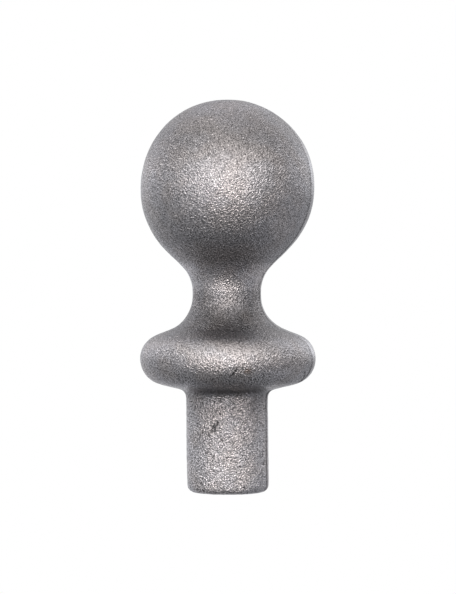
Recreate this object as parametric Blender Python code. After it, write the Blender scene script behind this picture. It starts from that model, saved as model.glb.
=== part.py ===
"""Cast iron ball finial, one casting, turned about the Z axis.

A ball stands on a waisted neck, over a rounded collar and a plain round spigot that drops
into the open top of a railing post. The outline is drawn once on the +X side, from the top
of the ball down to the middle of the spigot's flat end, and is then turned about Z.

Metres, +Z up. The origin is the centre of the spigot's flat end.
"""
import math

import bpy
from mathutils import Vector

# Ball: its belt is the short straight band at its widest
BALL_DIAMETER = 0.0500
BALL_BELT = 0.0006
BALL_TO_NECK_RUN = 0.0067

# Neck: a hollow sweep above and below a short straight waist
NECK_DIAMETER = 0.0196
WAIST_LENGTH = 0.0010
SWEEP_UNDER_BALL = 0.0103
SWEEP_OVER_COLLAR = 0.0108
NECK_TO_COLLAR_RUN = 0.0045

# Collar: two arcs that meet at its widest, over a shallow cone
COLLAR_DIAMETER = 0.0506
COLLAR_TOP_RADIUS = 0.0072
COLLAR_UNDER_RADIUS = 0.0074
UNDERSIDE_SLOPE = math.radians(15.0)

# Spigot: widens by its draft from the end up to the shoulder
SPIGOT_LENGTH = 0.02925
SPIGOT_END_DIAMETER = 0.0234
SPIGOT_DRAFT = math.radians(0.2)
SHOULDER_FILLET = 0.0026
END_ROUNDING = 0.0021

# Fineness: flat sides around, and how far a chord may fall inside its arc
SIDES_AROUND = 64
CHORD_SAG = 0.00005
AXIS_MERGE = 0.00001

IRON_COLOUR = (0.42, 0.41, 0.41, 1.0)
IRON_METALLIC = 0.9
IRON_ROUGHNESS = 0.55

OUTWARD = 0.0
UPWARD = math.pi / 2
DOWNWARD = -math.pi / 2
INWARD = math.pi


def clear_objects():
    for thing in list(bpy.data.objects):
        bpy.data.objects.remove(thing, do_unlink=True)


def direction(angle):
    """Unit vector in the plane of the outline, its angle measured from +X towards +Z."""
    return Vector((math.cos(angle), math.sin(angle)))


def arc(centre, radius, start, end):
    """Points along an arc, both ends included, close enough to keep within CHORD_SAG."""
    widest_step = 2 * math.acos(1 - CHORD_SAG / radius)
    steps = math.ceil(abs(end - start) / widest_step)
    return [centre + radius * direction(start + (end - start) * i / steps) for i in range(steps + 1)]


def rise_between(radii, run, sideways):
    """Height between two arcs' centres, when a tangent of length run crosses between them."""
    return math.sqrt(radii ** 2 + run ** 2 - sideways ** 2)


def crossing_normal(round_centre, hollow_centre, radii):
    """Angle of the outward normal of the tangent that crosses from a round to a hollow."""
    between = hollow_centre - round_centre
    heading = math.atan2(between.y, between.x)
    lean = math.acos(radii / between.length)
    return heading - lean if heading > 0 else heading + lean


def spigot_outline():
    """Where the spigot's side would meet the underside, and the points from there down."""
    end_radius = SPIGOT_END_DIAMETER / 2
    corner = Vector((end_radius + SPIGOT_LENGTH * math.tan(SPIGOT_DRAFT), SPIGOT_LENGTH))

    under_touch = UPWARD + UNDERSIDE_SLOPE
    side_touch = INWARD - SPIGOT_DRAFT
    half_bend = (side_touch - under_touch) / 2
    reach = SHOULDER_FILLET / math.cos(half_bend)
    fillet_centre = corner - reach * direction(under_touch + half_bend)
    points = arc(fillet_centre, SHOULDER_FILLET, under_touch, side_touch)

    inset = END_ROUNDING * (1 - math.sin(SPIGOT_DRAFT)) / math.cos(SPIGOT_DRAFT)
    rounding_centre = Vector((end_radius - inset, END_ROUNDING))
    points += arc(rounding_centre, END_ROUNDING, -SPIGOT_DRAFT, DOWNWARD)
    points.append(Vector((0.0, 0.0)))
    return corner, points


def finial_outline():
    """Points of the outline, from the top of the ball to the middle of the flat end."""
    corner, spigot_points = spigot_outline()

    # The underside leaves the spigot's corner and runs outwards until it touches the collar's arc.
    under_normal = DOWNWARD + UNDERSIDE_SLOPE
    under_x = COLLAR_DIAMETER / 2 - COLLAR_UNDER_RADIUS
    touch_x = under_x + COLLAR_UNDER_RADIUS * math.cos(under_normal)
    touch_z = corner.y + (touch_x - corner.x) * math.tan(UNDERSIDE_SLOPE)
    collar_z = touch_z - COLLAR_UNDER_RADIUS * math.sin(under_normal)
    collar_under = Vector((under_x, collar_z))
    collar_top = Vector((COLLAR_DIAMETER / 2 - COLLAR_TOP_RADIUS, collar_z))

    collar_radii = COLLAR_TOP_RADIUS + SWEEP_OVER_COLLAR
    low_x = NECK_DIAMETER / 2 + SWEEP_OVER_COLLAR
    low_rise = rise_between(collar_radii, NECK_TO_COLLAR_RUN, low_x - collar_top.x)
    low_sweep = Vector((low_x, collar_z + low_rise))
    high_sweep = Vector((NECK_DIAMETER / 2 + SWEEP_UNDER_BALL, low_sweep.y + WAIST_LENGTH))

    ball_radius = BALL_DIAMETER / 2
    ball_radii = ball_radius + SWEEP_UNDER_BALL
    ball_rise = rise_between(ball_radii, BALL_TO_NECK_RUN, high_sweep.x)
    ball_low = Vector((0.0, high_sweep.y + ball_rise))
    ball_high = ball_low + Vector((0.0, BALL_BELT))

    under_ball = crossing_normal(ball_low, high_sweep, ball_radii)
    over_collar = crossing_normal(collar_top, low_sweep, collar_radii)

    points = [ball_high + Vector((0.0, ball_radius))]
    points += arc(ball_high, ball_radius, UPWARD, OUTWARD)[1:]
    points += arc(ball_low, ball_radius, OUTWARD, under_ball)
    points += arc(high_sweep, SWEEP_UNDER_BALL, INWARD + under_ball, INWARD)
    points += arc(low_sweep, SWEEP_OVER_COLLAR, INWARD, INWARD + over_collar)
    points += arc(collar_top, COLLAR_TOP_RADIUS, over_collar, OUTWARD)
    points += arc(collar_under, COLLAR_UNDER_RADIUS, OUTWARD, under_normal)[1:]
    return points + spigot_points


def cast_iron():
    material = bpy.data.materials.new("cast_iron")
    material.use_nodes = True
    shader = material.node_tree.nodes["Principled BSDF"]
    shader.inputs["Base Color"].default_value = IRON_COLOUR
    shader.inputs["Metallic"].default_value = IRON_METALLIC
    shader.inputs["Roughness"].default_value = IRON_ROUGHNESS
    return material


def turned(name, points, material):
    """Object whose mesh is the open outline at +X, turned round Z by a Screw modifier."""
    mesh = bpy.data.meshes.new(name)
    edges = [(i, i + 1) for i in range(len(points) - 1)]
    mesh.from_pydata([(point.x, 0.0, point.y) for point in points], edges, [])
    mesh.materials.append(material)
    thing = bpy.data.objects.new(name, mesh)
    bpy.context.collection.objects.link(thing)

    screw = thing.modifiers.new("Turned about Z", "SCREW")
    screw.axis = "Z"
    screw.angle = 2 * math.pi
    screw.steps = SIDES_AROUND
    screw.render_steps = SIDES_AROUND
    screw.use_merge_vertices = True
    screw.merge_threshold = AXIS_MERGE
    screw.use_smooth_shade = True
    return thing


clear_objects()
turned("ball_finial", finial_outline(), cast_iron())
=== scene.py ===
import bpy
import math
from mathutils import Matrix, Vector


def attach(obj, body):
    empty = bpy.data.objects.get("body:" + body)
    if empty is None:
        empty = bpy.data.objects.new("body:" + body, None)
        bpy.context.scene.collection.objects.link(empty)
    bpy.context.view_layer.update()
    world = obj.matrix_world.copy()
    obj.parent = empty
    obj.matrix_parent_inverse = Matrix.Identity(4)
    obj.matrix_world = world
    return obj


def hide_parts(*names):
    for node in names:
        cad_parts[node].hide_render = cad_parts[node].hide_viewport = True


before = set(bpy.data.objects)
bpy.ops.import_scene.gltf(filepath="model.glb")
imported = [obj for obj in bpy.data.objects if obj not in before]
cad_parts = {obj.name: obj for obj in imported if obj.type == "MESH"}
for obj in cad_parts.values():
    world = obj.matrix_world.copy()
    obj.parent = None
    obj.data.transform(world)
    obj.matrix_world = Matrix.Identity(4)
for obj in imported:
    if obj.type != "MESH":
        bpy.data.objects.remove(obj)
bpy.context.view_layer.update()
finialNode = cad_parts["ball_finial"]

millimetre = 0.001
tallestMm = 120.0        # the height that curves along the finial reach to
noiseRoughness = 0.55    # how strong each finer layer of a noise is
sameSpot = 1e-6          # metres within which two points are one


# node helpers, for geometry and shader trees alike

def feed(tree, socket, value):
    # another node's output is linked, anything else is set on the socket
    if isinstance(value, bpy.types.NodeSocket):
        tree.links.new(value, socket)
    else:
        socket.default_value = value


def addNode(tree, kind, inputs=None, **settings):
    node = tree.nodes.new(kind)
    for name, value in settings.items():
        setattr(node, name, value)
    for name, value in (inputs or {}).items():
        feed(tree, node.inputs[name], value)
    return node


def maths(tree, operation, *values, clamp=False):
    node = addNode(tree, "ShaderNodeMath", operation=operation, use_clamp=clamp)
    for socket, value in zip(node.inputs, values):
        feed(tree, socket, value)
    return node.outputs["Value"]


def vectorMaths(tree, operation, *values):
    node = addNode(tree, "ShaderNodeVectorMath", operation=operation)
    for socket, value in zip(node.inputs, values):
        feed(tree, socket, value)
    single = operation in ("LENGTH", "DOT_PRODUCT", "DISTANCE")
    return node.outputs["Value" if single else "Vector"]


def scaled(tree, vector, factor):
    node = addNode(tree, "ShaderNodeVectorMath", {"Vector": vector, "Scale": factor}, operation="SCALE")
    return node.outputs["Vector"]


def ramp(tree, value, fromLow, fromHigh, toLow=0.0, toHigh=1.0):
    # smooth step between two values, flat beyond them
    node = addNode(tree, "ShaderNodeMapRange", interpolation_type="SMOOTHSTEP")
    numbers = {"Value": value, "From Min": fromLow, "From Max": fromHigh, "To Min": toLow, "To Max": toHigh}
    for name, number in numbers.items():
        feed(tree, node.inputs[name], number)
    return node.outputs["Result"]


def noise(tree, place, size, detail=2.0, seed=0.0):
    # noise that swings about zero, with lumps of the given size
    moved = vectorMaths(tree, "ADD", place, (seed, seed * 0.7, -seed))
    scale = maths(tree, "DIVIDE", 1.0, size)
    inputs = {"Vector": moved, "Scale": scale, "Detail": detail, "Roughness": noiseRoughness}
    node = addNode(tree, "ShaderNodeTexNoise", inputs)
    return maths(tree, "MULTIPLY_ADD", node.outputs[0], 2.0, -1.0)


def alongHeight(tree, height, pairs, reach):
    # a value that follows the height above the flat end, from pairs of (height in mm, value within +-reach)
    node = addNode(tree, "ShaderNodeFloatCurve", {"Value": maths(tree, "DIVIDE", height, tallestMm)})
    curve = node.mapping.curves[0]
    spots = [(heightMm / tallestMm, 0.5 + 0.5 * value / reach) for heightMm, value in sorted(pairs)]
    curve.points[0].location = spots[0]
    curve.points[1].location = spots[-1]
    for spot in spots[1:-1]:
        curve.points.new(*spot)
    node.mapping.update()
    return maths(tree, "MULTIPLY_ADD", node.outputs["Value"], 2.0 * reach, -reach)


def newGroup(name, kind, inputs, outputs):
    tree = bpy.data.node_groups.new(name, kind)
    for way, sockets in (("INPUT", inputs), ("OUTPUT", outputs)):
        for label, kindOfSocket in sockets.items():
            tree.interface.new_socket(name=label, in_out=way, socket_type="NodeSocket" + kindOfSocket)
    return tree, tree.nodes.new("NodeGroupInput").outputs, tree.nodes.new("NodeGroupOutput").inputs


# the finial's form, read from the frame

def outlineOf(node):
    # the ring of points over +X, from the top of the ball to the middle of the flat end
    points = {(round(v.co.x, 6), round(v.co.z, 6)) for v in node.data.vertices
              if abs(v.co.y) < sameSpot and v.co.x > -sameSpot}
    return sorted(points, key=lambda point: (-point[1], -point[0]))


outline = outlineOf(finialNode)


def radiusAt(height):
    # the finial's radius at a height, in metres
    for (r1, z1), (r2, z2) in zip(outline, outline[1:]):
        if z2 <= height <= z1 and z1 > z2:
            return r1 + (r2 - r1) * (z1 - height) / (z1 - z2)
    return outline[-1][0]


def onSurface(turn, heightMm):
    # a point on the skin in millimetres; turn is in degrees about Z, and -90 faces the camera
    radius = radiusAt(heightMm * millimetre) / millimetre
    angle = math.radians(turn)
    return Vector((radius * math.cos(angle), radius * math.sin(angle), heightMm))


# the mould's parting line, a vertical plane through the axis
seam = {
    "turn": -17.0,          # degrees about Z where it meets the right side
    "stepMm": 0.12,         # how far the rear half stands out past the front half
    "creaseMm": 0.10,       # depth of the line itself
    "widthMm": 0.35,
    "scaleAndShadowMm": 0.9,         # how far the dark scale and painted shadow spread to either side of it
    "scaleAndShadowRagged": 0.5,     # how ragged the edge of the scale and painted shadow is, as a share of that
    # how dense the scale and painted shadow are at each height; densest under the collar, where shade falls
    "scaleAndShadowShare": [(0, 0.5), (10, 0.6), (20, 0.45), (27, 0.7), (30, 1.0), (34, 1.0), (36, 0.5), (38.5, 0.25),
                   (43, 0.2), (60, 0.15), (75, 0.4), (86, 0.45), (95, 0.3), (104, 0.1), (114, 0.1)],
    # the strip behind it that was dressed smooth, and painted lighter as a sheen: where it begins, how wide
    # it is and how far it fades beyond
    "dressedAndSheenFromMm": (0.2, 0.8),
    "dressedAndSheenMm": 3.5,
    "dressedAndSheenFadeMm": 6.0,
    "dressedAndSheenTopMm": (98.0, 109.0),   # over the ball's top the dressing and the painted sheen die away
    # painted sheen: how much lighter the strip's colour is painted, a painted reflection of the bright
    # surroundings at the rim
    "paintedSheenTone": 1.28,
    "dressedRelief": 0.35,  # share of the grain that the dressing left
}

# how ragged the edges of scars and scale are
ragged = {"sizeMm": 0.8, "seed": 4.0, "scarShare": 0.6}

# cast-in hollows and knocks: where they start and end (turn, height), how wide and how deep
scars = {
    "spigotHollow": {"start": (-109.0, 19.4), "end": (-108.6, 18.7), "radiusMm": 1.15, "depthMm": 0.40},
    "spigotHollowArm": {"start": (-102.9, 21.1), "end": (-104.6, 20.1), "radiusMm": 0.60, "depthMm": 0.22},
    "spigotHollowTail": {"start": (-110.0, 18.6), "end": (-113.4, 18.2), "radiusMm": 0.75, "depthMm": 0.28},
    "shoulderPit": {"start": (-99.8, 27.1), "end": (-97.2, 26.8), "radiusMm": 0.50, "depthMm": 0.18},
    "spigotScratch": {"start": (-98.8, 16.1), "end": (-96.6, 15.6), "radiusMm": 0.42, "depthMm": 0.15},
    "spigotPitLow": {"start": (-117.3, 17.5), "end": (-116.8, 17.2), "radiusMm": 0.60, "depthMm": 0.22},
    "spigotPitLeft": {"start": (-128.5, 18.0), "end": (-127.5, 17.8), "radiusMm": 0.55, "depthMm": 0.20},
    "seamPitHigh": {"start": (-29.0, 11.9), "end": (-29.5, 10.9), "radiusMm": 0.55, "depthMm": 0.22},
    "seamPitLow": {"start": (-25.0, 9.2), "end": (-25.5, 8.4), "radiusMm": 0.50, "depthMm": 0.20},
    "collarNick": {"start": (-83.0, 37.6), "end": (-87.0, 35.2), "radiusMm": 0.40, "depthMm": 0.14},
    "collarPit": {"start": (-25.5, 35.2), "end": (-25.0, 34.9), "radiusMm": 0.55, "depthMm": 0.22},
    # painted shade: this mark paints the dark shading line along the collar's underside, over a shallow dent
    "underCollarPitAndShade": {"start": (-21.8, 34.2), "end": (-18.5, 32.4), "radiusMm": 0.60, "depthMm": 0.22},
}


def seamVectors():
    angle = math.radians(seam["turn"])
    along = Vector((math.cos(angle), math.sin(angle), 0.0))
    across = Vector((-math.sin(angle), math.cos(angle), 0.0))
    return along, across


def seamSide(tree, place):
    # distance from the parting plane in millimetres, positive on the rear half
    return vectorMaths(tree, "DOT_PRODUCT", place, seamVectors()[1])


def raggedness(tree, place):
    return noise(tree, place, ragged["sizeMm"], seed=ragged["seed"])


def scarMask(tree, place, edge, scar):
    # one in the middle of a scar, fading to zero at its ragged edge
    start = onSurface(*scar["start"])
    reach = onSurface(*scar["end"]) - start
    offset = vectorMaths(tree, "SUBTRACT", place, start)
    share = vectorMaths(tree, "DOT_PRODUCT", offset, reach)
    share = maths(tree, "DIVIDE", share, reach.length_squared, clamp=True)
    nearest = scaled(tree, tuple(reach), share)
    distance = vectorMaths(tree, "LENGTH", vectorMaths(tree, "SUBTRACT", offset, nearest))
    distance = maths(tree, "MULTIPLY_ADD", edge, ragged["scarShare"] * scar["radiusMm"], distance)
    return ramp(tree, distance, 0.0, scar["radiusMm"], 1.0, 0.0)


# the casting itself: the outline turned about Z, then given its cast skin
casting = {
    "sides": 300,
    "rings": 333,
    "swellSizeMm": 11.0,        # broad swells, then lumps, then grain: how far apart and how high
    "swellMm": 0.10,
    "lumpSizeMm": 3.2,
    "lumpMm": 0.045,
    "grainSizeMm": 1.3,
    "grainMm": 0.035,
    "spigotRoughening": 1.7,    # lumps and grain stand this much higher on the spigot
    "spigotTopMm": 30.0,
    "spigotFadeMm": 3.0,
    "seed": 3.0,
    "swellSeed": 11.0,
    "lumpSeed": 23.0,
    "grainSeed": 37.0,
    # the mould halves met a little askew: how far the axis strays towards +X at each height
    "strayMm": [(0, 0.16), (4, 0.14), (12, 0.05), (20, -0.02), (27, -0.09), (31, 0.0), (36, 0.15),
                (41, 0.13), (45, 0.19), (49, 0.03), (53, -0.12), (60, -0.15), (69, -0.25), (77, -0.13),
                (85, 0.0), (90, 0.05), (97, 0.15), (104, 0.03), (110, -0.05), (114, -0.05)],
    "strayReachMm": 0.4,
}


def spigotShare(tree, height):
    # one on the spigot, fading to zero under the collar
    top = casting["spigotTopMm"]
    return ramp(tree, height, top, top - casting["spigotFadeMm"])


def castSkinTree(material):
    sizes = {"Sides": "Int", "Rings": "Int",
             "Swell Size": "Float", "Swell Height": "Float", "Lump Size": "Float", "Lump Height": "Float",
             "Grain Size": "Float", "Grain Height": "Float", "Spigot Roughening": "Float",
             "Seam Step": "Float", "Seam Crease": "Float", "Seam Width": "Float", "Seed": "Float"}
    tree, given, result = newGroup(
        "turnedCasting", "GeometryNodeTree", {"Outline": "Geometry", **sizes}, {"Casting": "Geometry"})

    # the outline as a smooth curve
    curve = addNode(tree, "GeometryNodeMeshToCurve", {"Mesh": given["Outline"]}).outputs["Curve"]
    bezier = addNode(tree, "GeometryNodeCurveSplineType", {"Curve": curve}, spline_type="BEZIER")
    handles = addNode(tree, "GeometryNodeCurveSetHandles", {"Curve": bezier.outputs["Curve"]},
                      handle_type="AUTO", mode={"LEFT", "RIGHT"})
    curve = handles.outputs["Curve"]

    # a flat sheet, rolled round Z along that curve
    columns = maths(tree, "ADD", given["Sides"], 1.0)
    sheet = addNode(tree, "GeometryNodeMeshGrid", {"Size X": 1.0, "Size Y": 1.0, "Vertices X": given["Rings"],
                                                   "Vertices Y": columns}).outputs["Mesh"]
    flat = addNode(tree, "ShaderNodeSeparateXYZ", {0: addNode(tree, "GeometryNodeInputPosition").outputs[0]})
    along = maths(tree, "ADD", flat.outputs["X"], 0.5, clamp=True)
    around = maths(tree, "MULTIPLY", maths(tree, "ADD", flat.outputs["Y"], 0.5), 2 * math.pi)
    sample = addNode(tree, "GeometryNodeSampleCurve", {"Curves": curve, "Factor": along}, mode="FACTOR")
    drawn = addNode(tree, "ShaderNodeSeparateXYZ", {0: sample.outputs["Position"]})
    radius = maths(tree, "MAXIMUM", drawn.outputs["X"], 0.0)
    rolled = addNode(tree, "ShaderNodeCombineXYZ", {
        "X": maths(tree, "MULTIPLY", radius, maths(tree, "COSINE", around)),
        "Y": maths(tree, "MULTIPLY", radius, maths(tree, "SINE", around)),
        "Z": drawn.outputs["Z"]}).outputs["Vector"]
    turned = addNode(tree, "GeometryNodeSetPosition", {"Geometry": sheet, "Position": rolled})
    turned = addNode(tree, "GeometryNodeMergeByDistance", {
        "Geometry": turned.outputs["Geometry"], "Distance": sameSpot}).outputs["Geometry"]

    # the cast skin, in millimetres along the normal
    place = scaled(tree, addNode(tree, "GeometryNodeInputPosition").outputs[0], 1 / millimetre)
    height = addNode(tree, "ShaderNodeSeparateXYZ", {0: place}).outputs["Z"]
    onSpigot = spigotShare(tree, height)
    rougher = maths(tree, "SUBTRACT", given["Spigot Roughening"], 1.0)
    rough = maths(tree, "MULTIPLY_ADD", onSpigot, rougher, 1.0)
    seeded = vectorMaths(tree, "ADD", place, addNode(tree, "ShaderNodeCombineXYZ", {
        "X": given["Seed"], "Y": given["Seed"], "Z": given["Seed"]}).outputs["Vector"])
    swell = noise(tree, seeded, given["Swell Size"], detail=1.0, seed=casting["swellSeed"])
    swell = maths(tree, "MULTIPLY", swell, given["Swell Height"])
    lumps = noise(tree, seeded, given["Lump Size"], detail=2.0, seed=casting["lumpSeed"])
    lumps = maths(tree, "MULTIPLY", lumps, given["Lump Height"])
    grain = noise(tree, seeded, given["Grain Size"], detail=1.0, seed=casting["grainSeed"])
    grain = maths(tree, "MULTIPLY", grain, given["Grain Height"])
    fine = maths(tree, "MULTIPLY", maths(tree, "ADD", lumps, grain), rough)
    relief = maths(tree, "ADD", swell, fine)
    edge = raggedness(tree, place)
    for scar in scars.values():
        relief = maths(tree, "MULTIPLY_ADD", scarMask(tree, place, edge, scar), -scar["depthMm"], relief)

    # the parting line: a crease, and the rear half a little proud of the front half
    side = seamSide(tree, place)
    halfWidth = maths(tree, "MULTIPLY", given["Seam Width"], 0.5)
    offLine = ramp(tree, maths(tree, "ABSOLUTE", side), 0.0, given["Seam Width"])
    crease = maths(tree, "MULTIPLY", maths(tree, "SUBTRACT", offLine, 1.0), given["Seam Crease"])
    relief = maths(tree, "ADD", relief, crease)
    rear = ramp(tree, side, maths(tree, "MULTIPLY", halfWidth, -1.0), halfWidth)
    slip = maths(tree, "MULTIPLY", rear, maths(tree, "MULTIPLY", given["Seam Step"], millimetre))
    shift = scaled(tree, tuple(seamVectors()[0]), slip)
    stray = alongHeight(tree, height, casting["strayMm"], casting["strayReachMm"])
    stray = maths(tree, "MULTIPLY", stray, millimetre)
    stray = addNode(tree, "ShaderNodeCombineXYZ", {"X": stray}).outputs["Vector"]
    shift = vectorMaths(tree, "ADD", shift, stray)

    normal = addNode(tree, "GeometryNodeInputNormal").outputs[0]
    offset = scaled(tree, normal, maths(tree, "MULTIPLY", relief, millimetre))
    offset = vectorMaths(tree, "ADD", offset, shift)
    skinned = addNode(tree, "GeometryNodeSetPosition", {"Geometry": turned, "Offset": offset})

    # nothing reaches below the flat end
    lowest = (-1.0, -1.0, 0.0)
    grounded = vectorMaths(tree, "MAXIMUM", addNode(tree, "GeometryNodeInputPosition").outputs[0], lowest)
    skinned = addNode(tree, "GeometryNodeSetPosition", {
        "Geometry": skinned.outputs["Geometry"], "Position": grounded}).outputs["Geometry"]
    smooth = addNode(tree, "GeometryNodeSetShadeSmooth", {"Geometry": skinned}).outputs["Geometry"]
    real = addNode(tree, "GeometryNodeRealizeInstances", {"Geometry": smooth}).outputs["Geometry"]
    painted = addNode(tree, "GeometryNodeSetMaterial", {"Geometry": real, "Material": material})
    tree.links.new(painted.outputs["Geometry"], result["Casting"])
    return tree


def makeCasting(material):
    mesh = bpy.data.meshes.new("outline")
    mesh.from_pydata([(r, 0.0, z) for r, z in outline], [(i, i + 1) for i in range(len(outline) - 1)], [])
    draft = bpy.data.objects.new("outline", mesh)
    bpy.context.scene.collection.objects.link(draft)
    modifier = draft.modifiers.new("turnedCasting", "NODES")
    modifier.node_group = castSkinTree(material)
    values = {"Sides": casting["sides"], "Rings": casting["rings"],
              "Swell Size": casting["swellSizeMm"], "Swell Height": casting["swellMm"],
              "Lump Size": casting["lumpSizeMm"], "Lump Height": casting["lumpMm"],
              "Grain Size": casting["grainSizeMm"], "Grain Height": casting["grainMm"],
              "Spigot Roughening": casting["spigotRoughening"],
              "Seam Step": seam["stepMm"], "Seam Crease": seam["creaseMm"], "Seam Width": seam["widthMm"],
              "Seed": casting["seed"]}
    for item in modifier.node_group.interface.items_tree:
        if item.in_out == "INPUT" and item.name in values:
            modifier[item.identifier] = values[item.name]
    evaluated = draft.evaluated_get(bpy.context.evaluated_depsgraph_get())
    piece = bpy.data.objects.new("iron_casting", bpy.data.meshes.new_from_object(evaluated))
    bpy.data.objects.remove(draft)
    bpy.context.scene.collection.objects.link(piece)
    return piece


# bare grey iron as it leaves the shot-blaster, with painted shade, highlights and glints in its colour
iron = {
    "warmGrey": (0.430, 0.412, 0.416),
    "coolGrey": (0.418, 0.412, 0.429),
    "stainMm": 7.0,              # faint warm and cool patches, and how far they blend
    "stainBlend": 0.3,
    "stainSeed": 57.0,
    "speckMm": 0.20,             # fine specks, light and dark
    "speckContrast": 2.30,
    "speckLevel": 1.05,
    "speckTop": 1.36,            # the lightest that ordinary specks get, and how softly they stop there
    "speckTopSoftness": 0.3,
    "paintedGlintMm": 0.32,             # painted glints: rare specks painted brighter, and how strongly they show at each height, most in the dark hollows
    "paintedGlintContrast": 3.5,
    "paintedGlintShare": [(0, 0.0), (42, 0.0), (46, 0.5), (52, 0.5), (57, 0.1), (62, 0.2), (66, 1.0), (73, 1.0),
                   (80, 0.2), (94, 0.2), (100, 0.4), (114, 0.4)],
    "brightest": 2.3,            # a painted glint's brightness, times the grey; no brightness goes past it
    "edgeTint": (0.88, 0.88, 0.88, 1.0),   # at the rims, where clean metal would turn white
    "mottleMm": 1.1,             # coarser cloudiness
    "mottleContrast": 0.30,
    "craterMm": 0.50,            # blast craters and the ridges between them
    "craterDeepMm": 0.135,
    "fineMm": 0.28,              # the unevenness within them
    "fineDeepMm": 0.080,
    "spigotRoughening": 1.45,    # specks and relief are this much stronger on the spigot
    "roughness": 0.28,
    "roughnessSwing": 0.20,      # light specks are smoother, dark ones rougher
    "smoothest": 0.12,
    # painted shade and highlight at each height: the hollows under the ball, in the neck and under the collar
    # are painted darker where shade falls, the ball's top is painted darker too, and the bands where the
    # light falls are painted brighter
    "paintedShadeAndHighlight": [(0, 1.42), (5, 1.54), (10, 1.60), (15, 1.50), (20, 1.44), (24, 1.22), (27, 1.07), (29.5, 0.90),
             (32, 0.92), (35, 1.18), (38, 1.23), (41, 0.96), (44, 0.57), (46.5, 0.39), (49, 0.26), (52, 0.35),
             (55, 0.65), (58, 0.93), (61, 1.58), (64, 1.56), (68, 0.87), (72, 0.86), (76, 1.01), (80, 1.15),
             (84, 1.17), (88, 1.22), (92, 1.08), (96, 0.76), (100, 0.51), (104, 0.39), (108, 0.42),
             (111, 0.57), (114, 0.62)],
    "paintedShadeAndHighlightReach": 0.8,
    # dark scale, also used for the painted shadow along the parting line and the painted shade line under the
    # collar
    "scale": (0.055, 0.055, 0.058),
    "rust": (0.20, 0.12, 0.07),
    "rustAt": (-76.6, 36.4),     # turn and height
    "rustMm": (0.2, 1.3),        # full inside the first radius, gone outside the second
    "rustRaggedMm": 0.8,
    "rustShare": 0.6,
}

# how the grain is put together
grainMix = {
    "coarser": ((2.0, 0.45), (4.0, 0.15)),   # coarser specks that are added: times the size, and share
    "ridgeMiddle": 0.32,                     # crater height that neither lightens nor darkens
    "ridgeShare": 0.35,                      # ridges between craters are lighter than their bottoms
    "paintedGlintFrom": (0.38, 0.55),               # noise where a painted glint starts, and where it is full
    "fineSeed": 5.0,
    "speckSeed": 17.0,
    "coarserSeed": 9.0,
    "paintedGlintSeed": 41.0,
    "mottleSeed": 29.0,
}


def castGrainGroup():
    tree, given, result = newGroup(
        "castGrain", "ShaderNodeTree",
        {"Place": "Vector", "Speck Size": "Float", "Glint Size": "Float", "Mottle Size": "Float",
         "Crater Size": "Float", "Crater Depth": "Float", "Fine Size": "Float", "Fine Depth": "Float"},
        {"Height": "Float", "Speck": "Float", "Glint": "Float", "Mottle": "Float"})
    place = given["Place"]
    craters = addNode(tree, "ShaderNodeTexVoronoi", {
        "Vector": place, "Scale": maths(tree, "DIVIDE", 1.0, given["Crater Size"])}, feature="F1")
    bowl = maths(tree, "POWER", craters.outputs["Distance"], 2.0)
    fine = noise(tree, place, given["Fine Size"], detail=2.0, seed=grainMix["fineSeed"])
    height = maths(tree, "MULTIPLY", bowl, given["Crater Depth"])
    height = maths(tree, "MULTIPLY_ADD", fine, given["Fine Depth"], height)
    speck = noise(tree, place, given["Speck Size"], detail=0.0, seed=grainMix["speckSeed"])
    for times, share in grainMix["coarser"]:
        size = maths(tree, "MULTIPLY", given["Speck Size"], times)
        coarser = noise(tree, place, size, detail=0.0, seed=grainMix["coarserSeed"] + times)
        speck = maths(tree, "MULTIPLY_ADD", coarser, share, speck)
    ridges = maths(tree, "SUBTRACT", bowl, grainMix["ridgeMiddle"])
    speck = maths(tree, "MULTIPLY_ADD", ridges, grainMix["ridgeShare"], speck)
    # painted glints: sparse specks that the material paints brighter
    paintedGlint = noise(tree, place, given["Glint Size"], detail=0.0, seed=grainMix["paintedGlintSeed"])
    paintedGlint = ramp(tree, paintedGlint, *grainMix["paintedGlintFrom"])
    mottle = noise(tree, place, given["Mottle Size"], detail=2.0, seed=grainMix["mottleSeed"])
    for name, value in (("Height", height), ("Speck", speck), ("Glint", paintedGlint), ("Mottle", mottle)):
        tree.links.new(value, result[name])
    return tree


def mixed(tree, share, first, second):
    # one colour fading into another, through the colour sockets of a Mix node
    node = addNode(tree, "ShaderNodeMix", {"Factor": share}, data_type="RGBA")
    for socket, colour in ((node.inputs[6], first), (node.inputs[7], second)):
        feed(tree, socket, (*colour, 1.0) if isinstance(colour, tuple) else colour)
    return node.outputs[2]


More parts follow.
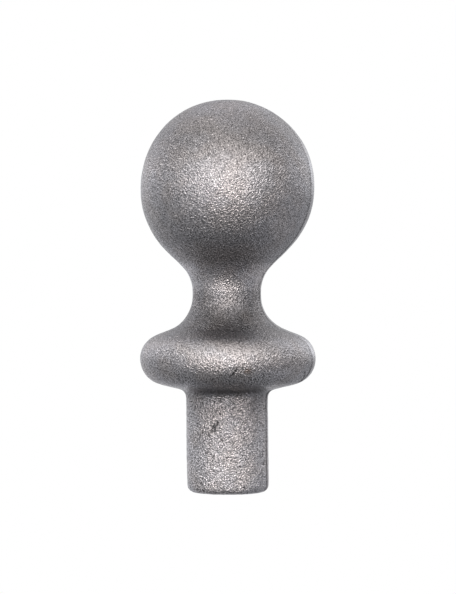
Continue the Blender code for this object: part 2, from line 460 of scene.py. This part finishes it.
def ironMaterial():
    material = bpy.data.materials.new("bareCastIron")
    material.use_nodes = True
    tree = material.node_tree
    shader = tree.nodes["Principled BSDF"]
    shader.inputs["Metallic"].default_value = 1.0
    shader.inputs["Specular Tint"].default_value = iron["edgeTint"]
    coordinate = addNode(tree, "ShaderNodeTexCoord").outputs["Object"]
    place = scaled(tree, coordinate, 1 / millimetre)
    grain = addNode(tree, "ShaderNodeGroup", node_tree=castGrainGroup())
    values = {"Place": place, "Speck Size": iron["speckMm"], "Mottle Size": iron["mottleMm"],
              "Glint Size": iron["paintedGlintMm"],
              "Crater Size": iron["craterMm"], "Crater Depth": iron["craterDeepMm"],
              "Fine Size": iron["fineMm"], "Fine Depth": iron["fineDeepMm"]}
    for name, value in values.items():
        feed(tree, grain.inputs[name], value)
    height = addNode(tree, "ShaderNodeSeparateXYZ", {0: place}).outputs["Z"]
    onSpigot = spigotShare(tree, height)

    # the parting line is dark with scale and a painted shadow of its step, and the strip behind it is
    # smoother, with a painted sheen that makes it lighter
    side = seamSide(tree, place)
    edge = raggedness(tree, place)
    scaleAndShadowAway = maths(tree, "MULTIPLY_ADD", edge, seam["scaleAndShadowRagged"] * seam["scaleAndShadowMm"], side)
    scaleAndShadowAway = maths(tree, "ABSOLUTE", scaleAndShadowAway)
    scaleAndShadowMost = alongHeight(tree, height, seam["scaleAndShadowShare"], 1.0)
    scale = ramp(tree, scaleAndShadowAway, 0.0, seam["scaleAndShadowMm"], scaleAndShadowMost, 0.0)
    dressedAndSheen = maths(tree, "MULTIPLY", ramp(tree, side, *seam["dressedAndSheenFromMm"]),
                    ramp(tree, side, seam["dressedAndSheenMm"] + seam["dressedAndSheenFadeMm"], seam["dressedAndSheenMm"]))
    full, gone = seam["dressedAndSheenTopMm"]
    dressedAndSheen = maths(tree, "MULTIPLY", dressedAndSheen, ramp(tree, height, gone, full))
    kept = maths(tree, "MULTIPLY_ADD", dressedAndSheen, seam["dressedRelief"] - 1.0, 1.0)
    strength = maths(tree, "MULTIPLY_ADD", onSpigot, iron["spigotRoughening"] - 1.0, 1.0)
    strength = maths(tree, "MULTIPLY", strength, kept)

    # light and dark specks over a grey with painted shade in the hollows, painted highlight where the light
    # falls, and painted glints
    contrast = maths(tree, "MULTIPLY", strength, iron["speckContrast"])
    speckle = maths(tree, "MULTIPLY", grain.outputs["Speck"], contrast)
    speckle = maths(tree, "MULTIPLY_ADD", grain.outputs["Mottle"], iron["mottleContrast"], speckle)
    speckle = maths(tree, "MULTIPLY", maths(tree, "EXPONENT", speckle), iron["speckLevel"])
    speckle = maths(tree, "SMOOTH_MIN", speckle, iron["speckTop"], iron["speckTopSoftness"])
    paintedShadeAndHighlight = alongHeight(tree, height, [(z, level - 1.0) for z, level in iron["paintedShadeAndHighlight"]], iron["paintedShadeAndHighlightReach"])
    paintedShadeAndHighlight = maths(tree, "ADD", paintedShadeAndHighlight, 1.0)
    # the strip's painted sheen makes it lighter
    paintedShadeAndHighlight = maths(tree, "MULTIPLY", paintedShadeAndHighlight, maths(tree, "MULTIPLY_ADD", dressedAndSheen, seam["paintedSheenTone"] - 1.0, 1.0))
    # painted glints: sparse specks painted brighter, most in the dark hollows
    paintedGlints = alongHeight(tree, height, iron["paintedGlintShare"], 1.0)
    paintedGlints = maths(tree, "MULTIPLY", grain.outputs["Glint"], paintedGlints)
    paintedGlints = maths(tree, "MULTIPLY_ADD", paintedGlints, iron["paintedGlintContrast"], 1.0)
    brightness = maths(tree, "MULTIPLY", maths(tree, "MULTIPLY", speckle, paintedShadeAndHighlight), paintedGlints)
    brightness = maths(tree, "MINIMUM", brightness, iron["brightest"])
    stain = noise(tree, place, iron["stainMm"], detail=1.0, seed=iron["stainSeed"])
    stain = ramp(tree, stain, -iron["stainBlend"], iron["stainBlend"])
    colour = scaled(tree, mixed(tree, stain, iron["coolGrey"], iron["warmGrey"]), brightness)

    # the scars hold scale too; the one under the collar paints the shade line along its underside
    for scar in scars.values():
        scale = maths(tree, "MAXIMUM", scale, scarMask(tree, place, edge, scar))
    colour = mixed(tree, scale, colour, iron["scale"])

    rustAway = vectorMaths(tree, "DISTANCE", place, tuple(onSurface(*iron["rustAt"])))
    rustAway = maths(tree, "MULTIPLY_ADD", grain.outputs["Speck"], iron["rustRaggedMm"], rustAway)
    rusty = ramp(tree, rustAway, *iron["rustMm"], iron["rustShare"], 0.0)
    colour = mixed(tree, rusty, colour, iron["rust"])
    tree.links.new(colour, shader.inputs["Base Color"])

    roughness = maths(tree, "MULTIPLY", grain.outputs["Speck"], -iron["roughnessSwing"])
    roughness = maths(tree, "ADD", roughness, iron["roughness"])
    roughness = maths(tree, "MAXIMUM", roughness, iron["smoothest"])
    tree.links.new(roughness, shader.inputs["Roughness"])

    relief = maths(tree, "MULTIPLY", grain.outputs["Height"], strength)
    bump = addNode(tree, "ShaderNodeBump", {"Height": relief, "Distance": millimetre, "Strength": 1.0})
    tree.links.new(bump.outputs["Normal"], shader.inputs["Normal"])
    return material


finial = makeCasting(ironMaterial())
print("casting made:", len(finial.data.polygons), "faces")
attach(finial, "root")
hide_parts("ball_finial")


# studio: pale floor, white backdrop and soft light from large panels
studio = {
    "floorSize": 6.0,
    "white": (1.0, 1.0, 1.0, 1.0),
    "bench": (-0.05, 0.15),     # upward share of the direction in which the bench's edge fades
}

# where each panel hangs (turn and rise in degrees), how tight its glow is, its light, and whether the bench
# hides its lower part
panels = {
    "key": {"turn": -92, "rise": -3, "tightness": 14, "light": (9.000, 8.355, 7.964), "bench": True},
    "leftHigh": {"turn": 178, "rise": 59, "tightness": 24, "light": (3.15, 3.00, 2.81)},
    "rearRightRaised": {"turn": 55, "rise": 31, "tightness": 24, "light": (2.65, 2.62, 2.68)},
    "frontHigh": {"turn": -65, "rise": 66, "tightness": 8, "light": (2.311, 2.221, 2.137)},
    "rearRightLow": {"turn": 54, "rise": -13, "tightness": 14, "light": (2.17, 2.24, 2.35), "bench": True},
    "rearLeftRaised": {"turn": 128, "rise": 25, "tightness": 24, "light": (2.10, 2.05, 2.14)},
    "rearHigh": {"turn": 93, "rise": 57, "tightness": 24, "light": (1.60, 1.53, 1.63)},
    "rightRaised": {"turn": 3, "rise": 33, "tightness": 14, "light": (0.793, 0.748, 0.730)},
    "rear": {"turn": 99, "rise": -5, "tightness": 4, "light": (0.598, 0.608, 0.622)},
    "rightLow": {"turn": 16, "rise": -34, "tightness": 14, "light": (0.68, 0.68, 0.72)},
    "surround": {"turn": -135, "rise": 33, "tightness": 1, "light": (0.573, 0.569, 0.581)},
    "rearLow": {"turn": 101, "rise": -33, "tightness": 14, "light": (0.374, 0.364, 0.404)},
}


def pointing(turn, rise):
    turn, rise = math.radians(turn), math.radians(rise)
    return Vector((math.cos(turn) * math.cos(rise), math.sin(turn) * math.cos(rise), math.sin(rise)))


def makeFloor():
    half = studio["floorSize"] / 2
    mesh = bpy.data.meshes.new("floor")
    corners = [(-half, -half, 0), (half, -half, 0), (half, half, 0), (-half, half, 0)]
    mesh.from_pydata(corners, [], [(0, 1, 2, 3)])
    floor = bpy.data.objects.new("floor", mesh)
    bpy.context.scene.collection.objects.link(floor)
    material = bpy.data.materials.new("paleFloor")
    material.use_nodes = True
    tree = material.node_tree
    tree.nodes.remove(tree.nodes["Principled BSDF"])
    glow = addNode(tree, "ShaderNodeEmission", {"Color": studio["white"], "Strength": 1.0})
    tree.links.new(glow.outputs[0], tree.nodes["Material Output"].inputs["Surface"])
    mesh.materials.append(material)
    floor.visible_diffuse = False
    floor.visible_glossy = False
    floor.visible_shadow = False


def makeWorld():
    world = bpy.data.worlds.new("studio")
    bpy.context.scene.world = world
    world.use_nodes = True
    tree = world.node_tree
    output = tree.nodes["World Output"]
    tree.nodes.remove(tree.nodes["Background"])
    direction = addNode(tree, "ShaderNodeTexCoord").outputs["Generated"]
    light = (0.0, 0.0, 0.0)
    upward = addNode(tree, "ShaderNodeSeparateXYZ", {0: direction}).outputs["Z"]
    overBench = ramp(tree, upward, *studio["bench"])
    for panel in panels.values():
        facing = vectorMaths(tree, "DOT_PRODUCT", direction, tuple(pointing(panel["turn"], panel["rise"])))
        fall = maths(tree, "MULTIPLY_ADD", facing, panel["tightness"], -panel["tightness"])
        glow = maths(tree, "EXPONENT", fall)
        if panel.get("bench"):
            glow = maths(tree, "MULTIPLY", glow, overBench)
        light = vectorMaths(tree, "ADD", light, scaled(tree, panel["light"], glow))
    surround = addNode(tree, "ShaderNodeBackground", {"Color": light, "Strength": 1.0})
    backdrop = addNode(tree, "ShaderNodeBackground", {"Color": studio["white"], "Strength": 1.0})
    seen = addNode(tree, "ShaderNodeLightPath").outputs["Is Camera Ray"]
    mix = addNode(tree, "ShaderNodeMixShader", {0: seen, 1: surround.outputs[0], 2: backdrop.outputs[0]})
    tree.links.new(mix.outputs[0], output.inputs["Surface"])


# the photograph's view: nearly level, from 0.9 m
view = {
    "distance": 0.9,
    "rise": 2.0,
    "sensorMm": 36.0,
    "focalPixels": 3116.0,      # the lens, in pixels of a picture of this height
    "imageHeight": 594,
    "aimHeight": 0.05635,
    "shiftPixels": 0.85,
}


def makeCamera():
    data = bpy.data.cameras.new("camera")
    data.sensor_fit = "VERTICAL"
    data.sensor_height = view["sensorMm"]
    data.lens = view["focalPixels"] * view["sensorMm"] / view["imageHeight"]
    data.shift_x = view["shiftPixels"] / view["imageHeight"]
    camera = bpy.data.objects.new("camera", data)
    bpy.context.scene.collection.objects.link(camera)
    rise = math.radians(view["rise"])
    away = Vector((0.0, -math.cos(rise), math.sin(rise)))
    camera.location = Vector((0.0, 0.0, view["aimHeight"])) + away * view["distance"]
    camera.rotation_euler = (-away).to_track_quat("-Z", "Y").to_euler()
    bpy.context.scene.camera = camera


makeFloor()
makeWorld()
makeCamera()
bpy.context.scene.view_settings.view_transform = "Standard"
print("studio and camera set")
